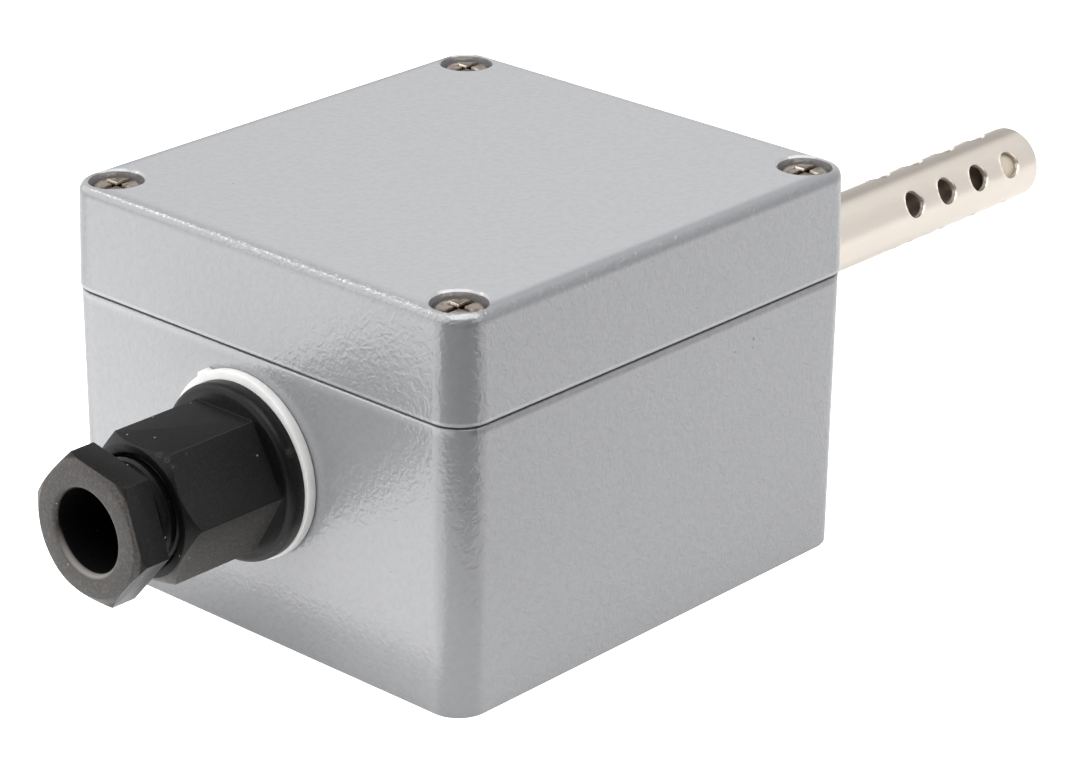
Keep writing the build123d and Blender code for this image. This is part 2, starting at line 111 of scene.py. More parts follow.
# A node tree, for a finish or for geometry, and the few patterns that the finishes share.
class Graph:
    def __init__(self, tree):
        self.tree = tree
        self.tree.nodes.clear()

    def node(self, kind, settings=None, sockets=None, result=0):
        made = self.tree.nodes.new(kind)
        for name, value in (settings or {}).items():
            setattr(made, name, value)
        for key, value in (sockets or {}).items():
            for each in value if isinstance(value, list) else [value]:
                if isinstance(each, Wire):
                    self.tree.links.new(each.socket, made.inputs[key])
                else:
                    made.inputs[key].default_value = each
        return Wire(self, made.outputs[result] if len(made.outputs) else None)

    # place on the object; a pattern is stretched where the scale is below 1
    def place(self, scale=(1, 1, 1), turn=(0, 0, 0)):
        objectPlace = self.node("ShaderNodeTexCoord", {}, {}, "Object")
        return self.node("ShaderNodeMapping", {"vector_type": "TEXTURE"}, {
            "Vector": objectPlace, "Rotation": turn, "Scale": tuple(1 / each for each in scale),
        })

    def noise(self, place, size, detail=2.0, roughness=0.5, distortion=0.0):
        return self.node("ShaderNodeTexNoise", {}, {
            "Vector": place, "Scale": 1 / size, "Detail": detail,
            "Roughness": roughness, "Distortion": distortion,
        })

    def between(self, value, low, high, start=0.0, end=1.0):
        return self.node("ShaderNodeMapRange", {"interpolation_type": "SMOOTHSTEP"}, {
            "Value": value, "From Min": low, "From Max": high, "To Min": start, "To Max": end,
        })

    # 0 at the first of two places given in millimetres, 1 at the second
    def fade(self, value, places):
        return self.between(value, places[0] * mm, places[1] * mm)

    def blend(self, mask, first, second):
        return self.node("ShaderNodeMix", {"data_type": "RGBA"}, {0: mask, 6: first, 7: second}, 2)

    def bump(self, height, depth, under=None):
        sockets = {"Height": height, "Distance": depth, "Strength": 1.0}
        if under:
            sockets["Normal"] = under
        return self.node("ShaderNodeBump", {}, sockets)

    def split(self, place):
        parts = self.node("ShaderNodeSeparateXYZ", {}, {0: place})
        return [Wire(self, parts.socket.node.outputs[axis]) for axis in "XYZ"]

    # 1 at the middle one of three heights given in millimetres, faded out at the others
    def band(self, height, levels):
        low, full, high = levels
        return self.fade(height, (low, full)) * self.fade(height, (high, full))

    # distance from the line along X through a point given in millimetres
    def fromAxis(self, place, point):
        x, y, z = self.split(place)
        across, up = y - point[1] * mm, z - point[2] * mm
        return (across * across + up * up) ** 0.5

    # 1 inside small spots, each given by its place and radius in millimetres
    def spots(self, place, points):
        mask = 0.0
        for x, y, z, radius in points:
            away = self.node("ShaderNodeVectorMath", {"operation": "DISTANCE"}, {
                0: place, 1: (x * mm, y * mm, z * mm),
            }, "Value")
            mask = self.fade(away, (radius, radius * 0.5)) + mask
        return mask

    # 1 inside upright columns, faded out over their edge, all in millimetres
    def columns(self, place, centres, radius, edge):
        x, y, z = self.split(place)
        flat = self.node("ShaderNodeCombineXYZ", {}, {"X": x, "Y": y})
        mask = 0.0
        for centreX, centreY in centres:
            away = self.node("ShaderNodeVectorMath", {"operation": "DISTANCE"}, {
                0: flat, 1: (centreX * mm, centreY * mm, 0),
            }, "Value")
            mask = self.fade(away, (radius + edge, radius)) + mask
        return mask

    # dust and lint: small dots of which only a share is kept
    def dust(self, place, size, radius, share):
        dots = self.node("ShaderNodeTexVoronoi", {}, {"Vector": place, "Scale": 1 / size, "Randomness": 1})
        cell = Wire(self, dots.socket.node.outputs["Color"])
        pick = self.node("ShaderNodeSeparateColor", {}, {0: cell})
        kept = pick.maths("LESS_THAN", pick, share)
        return self.between(dots, radius / size, radius / size * 0.4) * kept


def paint(red, green, blue):
    return (red, green, blue, 1)


def clamp(graph, value):
    return graph.node("ShaderNodeClamp", {}, {"Value": value})


def newFinish(name):
    material = bpy.data.materials.new(name)
    material.use_nodes = True
    return material, Graph(material.node_tree)


def closeFinish(graph, **sockets):
    named = {key.replace("_", " "): value for key, value in sockets.items()}
    shader = graph.node("ShaderNodeBsdfPrincipled", {}, named)
    graph.node("ShaderNodeOutputMaterial", {}, {"Surface": shader})


# Finishes. In a pair of places, a mark starts at the first and is full at the second.

powderCoat = {
    "colour": paint(0.266, 0.269, 0.278),
    "deepColour": paint(0.254, 0.257, 0.266),
    "roughness": 0.19,
    "gloss": 1.85,  # refractive index of the coat
    "cloudSize": 14 * mm,
    "patchSize": 1.3 * mm,
    "peelSize": 0.85 * mm,
    "peelDepth": 0.036 * mm,
    "rippleSize": 0.52 * mm,
    "rippleDepth": 0.036 * mm,
    "frontY": (-36.4, -37.0),
    "topZ": (56.7, 56.95),
    "topShare": 0.65,  # the relief is shallower on the lid's top
    # painted shade round the lid's top, standing in for dark reflections there, less of it on the two sides
    # that face along X
    "edgeShadeColour": paint(0.15, 0.153, 0.162),
    "edgeX": (37.2, 39.2),
    "edgeY": (34.6, 36.7),
    "edgeZ": (55.0, 55.9),
    "edgeShadeShareX": 0.4,
    # and painted shade on the upright corners too, found by X and Y added up
    "cornerXY": (71.8, 73.2),
    "cornerZ": (56.6, 55.6),
    "cornerShadeShare": 0.36,
    # painted highlight on the lower edge of the lid, in patches
    "lipHighlightColour": paint(0.40, 0.403, 0.41),
    "lipHighlightBand": (41.9, 42.15, 42.5),
    # painted shadow on the front of the base, under the lid
    "lidShadowColour": paint(0.125, 0.125, 0.132),
    "lidShadowBand": (40.2, 40.9, 42.0),
    # painted highlight on the rim of the base on the cable side
    "rimHighlightColour": paint(0.36, 0.363, 0.375),
    "rimHighlightBand": (39.9, 41.2, 41.6),
    "rimHighlightX": (-38.6, -39.2),
    # painted shade in the screw wells
    "wellShadeColour": paint(0.17, 0.17, 0.175),
    "wellRadius": 4.0,
    "wellEdge": 0.1,
    "wellZ": (56.75, 56.5),
    # dirt specks and one of rust: place and radius
    "speckColour": paint(0.12, 0.11, 0.1),
    "specks": [
        (18.36, -37.3, 37.38, 0.32), (14.43, -37.3, 36.62, 0.22), (18.23, -37.3, 36.11, 0.2),
        (-8.25, -37.3, 44.4, 0.2), (-27.89, -37.3, 44.17, 0.22), (-22.16, -37.3, 7.22, 0.25),
        (-39.8, -24.64, 18.25, 0.25), (-24.99, 19.41, 57.0, 0.2),
    ],
    "rustColour": paint(0.5, 0.2, 0.06),
    "rustSpeck": [(-39.17, 12.14, 56.5, 0.22)],
    # worm-like strokes in the coat: width as a share of their noise, depth, and the share of the
    # depth on every side, more of it on the front and less on the top
    "strokeSize": 1.5 * mm,
    "strokeWidth": 0.15,
    "strokeDepth": 0.042 * mm,
    "strokeShare": 0.35,
    "strokeFront": 0.65,
    "strokeTop": -0.2,
    # beads that the coat gathers in along the lid's edge on the cable side
    "beadSize": 0.6 * mm,
    "beadDepth": 0.055 * mm,
    "beadX": (-38.0, -38.8),
    "beadY": (30, 0),
    "beadZ": (55.6, 56.0),
}


def makePowderCoat(look):
    material, graph = newFinish("powderCoat")
    place = graph.place()
    x, y, z = graph.split(place)
    peel = graph.noise(graph.place((1.0, 1.0, 0.8), (0.5, 0.4, 0.3)), look["peelSize"], 1.0, 0.5, 0.25)
    ripple = graph.noise(place, look["rippleSize"], 1.0, 0.5)
    cloud = graph.noise(place, look["cloudSize"], 3.0, 0.6)
    patch = graph.noise(place, look["patchSize"], 3.0, 0.6)
    inFront = graph.fade(y, look["frontY"])
    onTop = graph.fade(z, look["topZ"])

    # colour: mottled, then one mark after the other
    colour = graph.blend(graph.between(peel, 0.35, 0.6), look["deepColour"], look["colour"])
    sideX, sideY = x.maths("ABSOLUTE", x), y.maths("ABSOLUTE", y)
    # painted shade on the upright corners, standing in for dark reflections
    cornerShade = graph.fade(sideX + sideY, look["cornerXY"]) * graph.fade(z, look["cornerZ"])
    colour = graph.blend(cornerShade * look["cornerShadeShare"], colour, look["edgeShadeColour"])
    # painted shade round the lid's top, standing in for dark reflections; less on the sides that face along X
    nearX, nearY = graph.fade(sideX, look["edgeX"]), graph.fade(sideY, look["edgeY"])
    edge = nearX.maths("MAXIMUM", nearX * look["edgeShadeShareX"], nearY) * graph.fade(z, look["edgeZ"])
    colour = graph.blend(edge, colour, look["edgeShadeColour"])
    # painted highlight on the lid's lower edge, in patches
    colour = graph.blend(graph.band(z, look["lipHighlightBand"]) * (0.5 + patch * 0.5), colour, look["lipHighlightColour"])
    # painted shadow of the lid's edge on the front of the base
    lidShadow = graph.band(z, look["lidShadowBand"]) * inFront * (0.5 + patch * 0.8)
    colour = graph.blend(clamp(graph, lidShadow), colour, look["lidShadowColour"])
    # painted highlight on the base's rim on the cable side
    paintedSheen = graph.band(z, look["rimHighlightBand"]) * graph.fade(x, look["rimHighlightX"])
    colour = graph.blend(paintedSheen * (0.4 + patch * 0.6), colour, look["rimHighlightColour"])
    # painted shade in the screw wells
    wellShade = graph.columns(place, screwPlaces, look["wellRadius"], look["wellEdge"])
    colour = graph.blend(wellShade * graph.fade(z, look["wellZ"]), colour, look["wellShadeColour"])
    colour = graph.blend(graph.spots(place, look["specks"]) * 0.8, colour, look["speckColour"])
    colour = graph.blend(graph.spots(place, look["rustSpeck"]), colour, look["rustColour"])

    # relief, from the coarse to the fine
    level = 1 - onTop * (1 - look["topShare"])
    bead = graph.between(graph.noise(place, look["beadSize"], 1.0, 0.4), 0.35, 0.7)
    for axis, side in (("beadX", x), ("beadY", y), ("beadZ", z)):
        bead = bead * graph.fade(side, look[axis])
    bend = graph.noise(graph.place((1.0, 1.0, 0.8), (0.9, 0.3, 0.6)), look["strokeSize"], 1.5, 0.6, 0.6) - 0.5
    stroke = graph.between(bend.maths("ABSOLUTE", bend), look["strokeWidth"], 0.0)
    stroke = stroke * (look["strokeShare"] + inFront * look["strokeFront"] + onTop * look["strokeTop"])
    relief = graph.bump(peel * level, look["peelDepth"])
    relief = graph.bump(bead, look["beadDepth"], relief)
    relief = graph.bump(stroke, look["strokeDepth"], relief)
    closeFinish(
        graph,
        Base_Color=colour,
        Roughness=look["roughness"] + cloud * 0.06,
        IOR=look["gloss"],
        Normal=graph.bump(ripple * level, look["rippleDepth"], relief),
    )
    return material


blackPlastic = {
    "colour": paint(0.0032, 0.0031, 0.0031),
    "roughness": 0.32,
    "gloss": 1.27,  # refractive index
    "cloudSize": 5 * mm,
    "grainSize": 0.22 * mm,
    "grainDepth": 0.014 * mm,
    "bloomColour": paint(0.009, 0.0085, 0.008),  # grey mottling
    "bloomSize": 0.38 * mm,
    "dustColour": paint(0.30, 0.28, 0.24),
    "dustGap": 2.6 * mm,
    "dustRadius": 0.17 * mm,
    "dustShare": 0.7,
    "frontSheenColour": paint(0.078, 0.072, 0.067),  # painted sheen on the nut's front face
    "frontSheenX": (-67.9, -68.2),
    # painted glint on the lower edge of the nut's bore, found by its distance from the axis and its slope
    "mouthGlintColour": paint(0.21, 0.20, 0.185),
    "mouthReach": (6.7, 6.3),
    "mouthX": (-67.6, -68.0),
    "mouthSlope": (0.1, 0.75),
    "underReflectionColour": paint(0.06, 0.057, 0.053),  # painted reflection on the undersides of the body
    "underX": (-62, -61),
    "underSlope": (-0.2, -0.5),
    # scuffs left by a spanner: place and radius
    "scuffColour": paint(0.036, 0.034, 0.032),
    "scuffDepth": 0.05 * mm,
    "scratchSize": 0.2 * mm,
    "scuffs": [
        (-59.3, -2.2, 34.5, 0.8), (-59.1, -3.4, 34.0, 0.7), (-58.9, -4.4, 33.4, 0.6),
        (-42.4, -9.3, 31.6, 1.0), (-63.5, -7.4, 29.5, 0.8), (-59.3, 0.5, 35.2, 0.6),
        (-42.6, 8.5, 33.2, 0.9),
    ],
}


def makeBlackPlastic(look):
    material, graph = newFinish("blackNylon")
    place = graph.place()
    x = graph.split(place)[0]
    upwards = graph.split(graph.node("ShaderNodeTexCoord", {}, {}, "Normal"))[2]
    grain = graph.noise(place, look["grainSize"], 2.0)
    cloud = graph.noise(place, look["cloudSize"], 4.0, 0.65)
    bloom = graph.between(graph.noise(place, look["bloomSize"], 3.0, 0.6), 0.45, 0.7)
    colour = graph.blend(bloom * (0.3 + cloud), look["colour"], look["bloomColour"])
    # painted sheen on the nut's front face
    paintedSheen = graph.fade(x, look["frontSheenX"]) * (0.6 + bloom * 0.4)
    colour = graph.blend(paintedSheen, colour, look["frontSheenColour"])
    # painted glint on the lower edge of the nut's bore
    mouthGlint = graph.fade(graph.fromAxis(place, glandAxis), look["mouthReach"]) * graph.fade(x, look["mouthX"])
    mouthGlint = mouthGlint * graph.between(upwards, *look["mouthSlope"])
    colour = graph.blend(mouthGlint, colour, look["mouthGlintColour"])
    # painted reflection on the faces of the body that look down
    under = graph.between(upwards, *look["underSlope"]) * graph.fade(x, look["underX"])
    colour = graph.blend(under * (0.5 + bloom * 0.5), colour, look["underReflectionColour"])
    scratch = graph.noise(graph.place((0.12, 1, 1), (0, 0.6, 0.3)), look["scratchSize"], 2.0, 0.6)
    scuffed = graph.spots(place, look["scuffs"]) * graph.between(scratch, 0.42, 0.6)
    colour = graph.blend(scuffed, colour, look["scuffColour"])
    dust = graph.dust(place, look["dustGap"], look["dustRadius"], look["dustShare"])
    closeFinish(
        graph,
        Base_Color=graph.blend(dust * 0.8, colour, look["dustColour"]),
        Roughness=look["roughness"] + cloud * 0.14,
        IOR=look["gloss"],
        Normal=graph.bump(scuffed, look["scuffDepth"], graph.bump(grain, look["grainDepth"])),
    )
    return material


whitePlastic = {"colour": paint(0.71, 0.71, 0.70), "shade": paint(0.65, 0.65, 0.64), "roughness": 0.4}
clearPlastic = {"colour": paint(0.78, 0.77, 0.72), "shade": paint(0.70, 0.69, 0.64), "roughness": 0.34}
beigePlastic = {"colour": paint(0.50, 0.44, 0.36), "shade": paint(0.43, 0.37, 0.30), "roughness": 0.45}
greyPlastic = {"colour": paint(0.19, 0.20, 0.21), "shade": paint(0.16, 0.17, 0.18), "roughness": 0.4}
redPlastic = {"colour": paint(0.55, 0.035, 0.025), "shade": paint(0.45, 0.03, 0.02), "roughness": 0.35}
paleLead = {"colour": paint(0.80, 0.79, 0.76), "shade": paint(0.72, 0.71, 0.68), "roughness": 0.35}
rubber = {"colour": paint(0.022, 0.022, 0.022), "shade": paint(0.03, 0.03, 0.029), "roughness": 0.7}
redFibre = {"colour": paint(0.42, 0.09, 0.06), "shade": paint(0.30, 0.06, 0.04), "roughness": 0.75}
resin = {"colour": paint(0.36, 0.21, 0.08), "shade": paint(0.28, 0.15, 0.05), "roughness": 0.12}
ceramic = {"colour": paint(0.86, 0.84, 0.79), "shade": paint(0.78, 0.75, 0.70), "roughness": 0.6}


def makePlain(name, look, cloudSize=3 * mm, grainSize=0.12 * mm, grainDepth=0.004 * mm):
    material, graph = newFinish(name)
    place = graph.place()
    cloud = graph.noise(place, cloudSize, 3.0, 0.6)
    grain = graph.noise(place, grainSize, 2.0)
    closeFinish(
        graph,
        Base_Color=graph.blend(graph.between(cloud, 0.35, 0.65), look["shade"], look["colour"]),
        Roughness=look["roughness"] + grain * 0.1,
        Normal=graph.bump(grain, grainDepth),
    )
    return material


screwNickel = {
    "colour": paint(0.55, 0.48, 0.41), "worn": paint(0.22, 0.16, 0.12), "roughness": 0.16,
    # painted shade in the slots of the lid's screws
    "slot": paint(0.05, 0.037, 0.028), "slotTopZ": (56.05, 55.7), "slotFloorZ": (54.0, 54.3),
    "slotRadius": 2.6, "slotEdge": 0.4,
}
platedBrass = {"colour": paint(0.68, 0.63, 0.55), "worn": paint(0.52, 0.46, 0.36), "roughness": 0.26}
bareBrass = {"colour": paint(0.78, 0.60, 0.29), "worn": paint(0.50, 0.36, 0.17), "roughness": 0.24}


def makeMetal(name, look, stainSize=1.6 * mm, scratchSize=0.18 * mm, scratchDepth=0.006 * mm):
    material, graph = newFinish(name)
    place = graph.place()
    stain = graph.noise(place, stainSize, 5.0, 0.65)
    scratch = graph.noise(place, scratchSize, 3.0, 0.7)
    worn = graph.between(stain, 0.48, 0.72)
    colour = graph.blend(worn, look["colour"], look["worn"])
    if "slot" in look:
        # painted shade in the slots of the lid's screws
        z = graph.split(place)[2]
        level = graph.fade(z, look["slotTopZ"]) * graph.fade(z, look["slotFloorZ"])
        column = graph.columns(place, screwPlaces, look["slotRadius"], look["slotEdge"])
        colour = graph.blend(level * column, colour, look["slot"])
    closeFinish(
        graph,
        Base_Color=colour,
        Metallic=1.0,
        Roughness=look["roughness"] + worn * 0.18 + scratch * 0.08,
        Normal=graph.bump(scratch, scratchDepth),
    )
    return material


stainless = {
    "colour": paint(0.70, 0.64, 0.577),
    "drawn": paint(0.67, 0.61, 0.547),
    "roughness": 0.24,
    "cloudSize": 6 * mm,
    "lineSize": 0.10 * mm,
    "lineDepth": 0.003 * mm,
    "inside": paint(0.36, 0.30, 0.25),  # darker, duller inside of the tube: partly a duller finish, partly painted shade
    "insideReach": (5.55, 5.25),
    "insideShine": 0.35,
    # painted glint on the tip side of each vent: X of the first, pitch, angle of the first in degrees,
    # distance from the axis, radius
    "burr": (99.3, 8.3, 69.0, 5.5, 0.62),
    "glintColour": paint(0.92, 0.87, 0.80),
    "glintsAlong": 4,
    "glintsAround": 4,
}


def makeStainless(look):
    material, graph = newFinish("stainless")
    place = graph.place()
    lines = graph.noise(graph.place((0.02, 1, 1)), look["lineSize"], 3.0, 0.6)
    cloud = graph.noise(place, look["cloudSize"], 4.0, 0.6)
    colour = graph.blend(graph.between(lines, 0.3, 0.7), look["drawn"], look["colour"])
    # inside the tube: partly a duller finish, partly painted shade
    dullAndShaded = graph.fade(graph.fromAxis(place, probeAxis), look["insideReach"])
    firstX, pitch, firstAngle, away, radius = look["burr"]
    glintSpots = []
    for station in range(look["glintsAlong"]):
        for row in range(look["glintsAround"]):
            angle = math.radians(firstAngle + 360 / look["glintsAround"] * row)
            glintY, glintZ = away * math.cos(angle), probeAxis[2] + away * math.sin(angle)
            glintSpots.append((firstX + pitch * station, glintY, glintZ, radius))
    # painted glints on the tip side of the vents
    burr = clamp(graph, graph.spots(place, glintSpots))
    closeFinish(
        graph,
        Base_Color=graph.blend(burr, graph.blend(dullAndShaded, colour, look["inside"]), look["glintColour"]),
        Metallic=1 - clamp(graph, dullAndShaded - burr * 0.5) * (1 - look["insideShine"]),
        Roughness=look["roughness"] + cloud * 0.1 + lines * 0.06 + dullAndShaded * 0.25,
        Normal=graph.bump(lines, look["lineDepth"]),
    )
    return material


finishes = {
    "grey_powder_coat": makePowderCoat(powderCoat),
    "black_nylon": makeBlackPlastic(blackPlastic),
    "black_rubber": makePlain("blackRubber", rubber),
    "white_nylon": makePlain("whiteNylon", whitePlastic),
    "natural_nylon": makePlain("naturalNylon", clearPlastic),
    "beige_ptfe": makePlain("beigePlug", beigePlastic),
    "grey_block": makePlain("greyBlock", greyPlastic),
    "red_lead": makePlain("redLead", redPlastic),
    "white_lead": makePlain("paleLead", paleLead),
    "red_fibre": makePlain("redFibre", redFibre, 0.8 * mm, 0.3 * mm, 0.02 * mm),
    "amber_resin": makePlain("amberResin", resin),
    "white_ceramic": makePlain("ceramic", ceramic),
    "nickel_steel": makeMetal("screwNickel", screwNickel),
    "nickel_brass": makeMetal("platedBrass", platedBrass),
    "bare_brass": makeMetal("bareBrass", bareBrass),
    "stainless": makeStainless(stainless),
}


def wear(piece, material):
    piece.data.materials.clear()
    piece.data.materials.append(material)


for name, slot in slotOf.items():
    wear(nodes[name], finishes[slot])
print("finishes:", len(finishes))


# Geometry trees, and what turns them and other modifiers into the mesh that replaces a packed one


def newTree(name, sockets):
    graph = Graph(bpy.data.node_groups.new(name, "GeometryNodeTree"))
    for label, kind in sockets.items():
        graph.tree.interface.new_socket(name=label, in_out="INPUT", socket_type="NodeSocket" + kind)
    graph.tree.interface.new_socket(name="Geometry", in_out="OUTPUT", socket_type="NodeSocketGeometry")
    start = graph.tree.nodes.new("NodeGroupInput")
    return graph, {label: Wire(graph, start.outputs[label]) for label in sockets}


def closeTree(graph, geometry, finish):
    whole = graph.node("GeometryNodeRealizeInstances", {}, {"Geometry": geometry})
    dressed = graph.node("GeometryNodeSetMaterial", {}, {"Geometry": whole, "Material": finish})
    graph.node("NodeGroupOutput", {}, {"Geometry": dressed})
    return graph.tree


def addTree(piece, tree, values):
    modifier = piece.modifiers.new(tree.name, "NODES")
    modifier.node_group = tree
    for item in tree.interface.items_tree:
        if item.in_out == "INPUT" and item.name in values:
            modifier[item.identifier] = values[item.name]


edgeLook = {"bevelSteps": 2, "bevelFrom": 28, "sharpFrom": 32}  # angles in degrees


# a piece whose modifiers have become plain mesh, smooth except at sharp edges, takes a packed one's place
def handOver(piece, name):
    bpy.context.view_layer.update()
    mesh = bpy.data.meshes.new_from_object(piece.evaluated_get(bpy.context.evaluated_depsgraph_get()))
    piece.modifiers.clear()
    piece.data = mesh
    mesh.shade_smooth()
    mesh.set_sharp_from_angle(angle=math.radians(edgeLook["sharpFrom"]))
    shell = bmesh.new()
    shell.from_mesh(mesh)
    bmesh.ops.recalc_face_normals(shell, faces=shell.faces)
    shell.to_mesh(mesh)
    shell.free()
    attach(piece, nodes[name]["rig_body"])
    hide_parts(name)


def newObject(name, data):
    made = bpy.data.objects.new(name, data)
    bpy.context.scene.collection.objects.link(made)
    return made


# a piece that a geometry tree makes from nothing
def treePiece(name, tree, values):
    piece = newObject(name + "Shape", bpy.data.meshes.new(name + "Shape"))
    addTree(piece, tree, {**values, "Finish": nodes[name].data.materials[0]})
    handOver(piece, name)


# Rings and tubes are grids laid out flat, as X along the axis, Y the angle in radians and Z the radius,
# and bent round the axis at the end. All lie along X.


# a grid with its corner at the origin and each column one unit wide; Y runs from 0 to 1
def grid(graph, columns, rows):
    mesh = graph.node("GeometryNodeMeshGrid", {}, {
        "Size X": float(columns), "Size Y": 1.0, "Vertices X": columns + 1, "Vertices Y": rows + 1,
    })
    x, y, z = graph.split(graph.node("GeometryNodeInputPosition"))
    return mesh, x + columns / 2, y + 0.5


def moveTo(graph, mesh, x, y, z):
    place = graph.node("ShaderNodeCombineXYZ", {}, {"X": x, "Y": y, "Z": z})
    return graph.node("GeometryNodeSetPosition", {}, {"Geometry": mesh, "Position": place})


# each column of the grid is one step of the section; steps are along and outwards, in millimetres
def followSteps(graph, column, along, radius, steps):
    for number, (stepAlong, stepOut) in enumerate(steps):
        part = clamp(graph, column - number)
        along = part * (stepAlong * mm) + along
        radius = part * (stepOut * mm) + radius
    return along, radius


def bendRound(graph, mesh, axisY, axisZ):
    x, angle, radius = graph.split(graph.node("GeometryNodeInputPosition"))
    across = axisY + radius * angle.maths("COSINE", angle)
    up = axisZ + radius * angle.maths("SINE", angle)
    bent = moveTo(graph, mesh, x, across, up)
    return graph.node("GeometryNodeMergeByDistance", {}, {"Geometry": bent, "Distance": 0.001 * mm})


tube = {
    "radius": 5.7, "bore": 4.9,
    "edge": 0.25,  # rounding of the outer edge at each end
    "chamfer": 0.1,  # and of the inner one
    "rings": 4, "rows": 4,  # vents along the tube and round it
    "ventRadius": 2.05, "ventPitch": 8.3, "ventFirst": 97.5,
    "ventTurned": 63.0,  # degrees
    "flare": 0.15, "flareShare": 0.4,  # worn rim of each vent: width, and share of the wall's thickness
    "burr": 0.08,  # height of the raised metal round it
    "around": 12,  # divisions of the grid from one row of vents to the next
    # divisions of the inner face, the hole and the outer face of a vent's share of the wall
    "innerSteps": 8, "holeSteps": 7, "outerSteps": 9,
}


def makeTubeTree(look, startX, tipX):
    graph, given = newTree("perforatedTube", {
        "Vent Radius": "Float", "Flare": "Float", "Burr": "Float", "Outside": "Float", "Inside": "Float",
        "Axis Z": "Float", "Finish": "Material",
    })
    rings, rows = look["rings"], look["rows"]
    rowAngle = 2 * math.pi / rows
    firstAngle = math.radians(look["ventTurned"])
    pitch = look["ventPitch"] * mm
    firstVent = look["ventFirst"] * mm
    inside, outside = given["Inside"], given["Outside"]

    # one vent with its square share of the wall: inner face, hole, outer face
    inner, hole, outer = look["innerSteps"], look["holeSteps"], look["outerSteps"]
    mesh, step, turn = grid(graph, inner + hole + outer, look["around"] * rows)
    turn = turn * (2 * math.pi)
    cosTurn, sinTurn = turn.maths("COSINE", turn), turn.maths("SINE", turn)
    towardsHole = clamp(graph, (inner - step) / inner)
    through = clamp(graph, (step - inner) / hole)
    fromHole = clamp(graph, (step - (inner + hole)) / outer)
    spread = (towardsHole + fromHole) ** 1.5
    worn = clamp(graph, (through - (1 - look["flareShare"])) / look["flareShare"]) ** 2.2
    raised = clamp(graph, 1 - fromHole * 3.5) * clamp(graph, through * 4 - 3) * given["Burr"]
    radius = inside + (outside - inside) * through + raised
    ventRadius = given["Vent Radius"] + given["Flare"] * worn
    wide, high = cosTurn.maths("ABSOLUTE", cosTurn), sinTurn.maths("ABSOLUTE", sinTurn)
    square = 1 / cosTurn.maths("MAXIMUM", wide, high)
    along = (1 - spread) * ventRadius * cosTurn + spread * (pitch / 2) * square * cosTurn
    ratio = ventRadius * sinTurn / radius
    angle = (1 - spread) * ratio.maths("ARCSINE", ratio) + spread * (rowAngle / 2) * square * sinTurn
    vent = moveTo(graph, mesh, along, angle, radius)

    # a copy at each crossing of rings and rows
    length, height = (rings - 1) * pitch, (rows - 1) * rowAngle
    crossings = graph.node("GeometryNodeMeshGrid", {}, {
        "Size X": length, "Size Y": height, "Vertices X": rings, "Vertices Y": rows,
    })
    vents = graph.node("GeometryNodeInstanceOnPoints", {}, {"Points": crossings, "Instance": vent})
    vents = graph.node("GeometryNodeTransform", {}, {
        "Geometry": graph.node("GeometryNodeRealizeInstances", {}, {"Geometry": vents}),
        "Translation": (firstVent + length / 2, firstAngle + height / 2, 0),
    })

    # plain ends, divided at the same angles as the vents' squares
    pieces = [vents]
    wall = look["radius"] - look["bore"]
    edge, chamfer = look["edge"], look["chamfer"]
    long, short = edge * 0.7, edge * 0.3
    for border, end in ((firstVent + length + pitch / 2, tipX), (firstVent - pitch / 2, startX)):
        way = 1 if end > border else -1
        run = abs(end - border) / mm
        steps = [
            (way * (run - edge) * 0.5, 0),
            (way * (run - edge) * 0.5, 0),
            (way * long, -short),
            (way * short, -long),
            (0, edge + chamfer - wall),
            (-way * chamfer, -chamfer),
            (-way * (run - chamfer), 0),
        ]
        mesh, column, turn = grid(graph, len(steps), look["around"] * rows)
        along, radius = followSteps(graph, column, border, outside, steps)
        turned = turn * rows
        whole = turned.maths("FLOOR", turned)
        lean = (turned - whole - 0.5) * rowAngle
        angle = (whole * rowAngle + firstAngle) + lean.maths("TANGENT", lean) * (rowAngle / 2)
        pieces.append(moveTo(graph, mesh, along, angle, radius))
    body = graph.node("GeometryNodeJoinGeometry", {}, {"Geometry": pieces})
    return closeTree(graph, bendRound(graph, body, 0.0, given["Axis Z"]), given["Finish"])


def buildTube(look):
    low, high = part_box("probe_tube")
    treePiece("probe_tube", makeTubeTree(look, low.x, high.x), {
        "Vent Radius": look["ventRadius"] * mm, "Flare": look["flare"] * mm, "Burr": look["burr"] * mm,
        "Outside": look["radius"] * mm, "Inside": look["bore"] * mm, "Axis Z": (low.z + high.z) / 2,
    })


washer = {
    "bore": 8.6,
    "edge": 0.3,  # rounding of its edges
    "around": 220,
    "rim": 1.2,  # width of the uneven rim
    "wobble": 0.10, "wobbleSize": 3.0,
    # moulding mark on the rim: height, and place and width in degrees
    "tooth": 0.45, "toothAngle": 58.0, "toothWidth": 9.0,
}


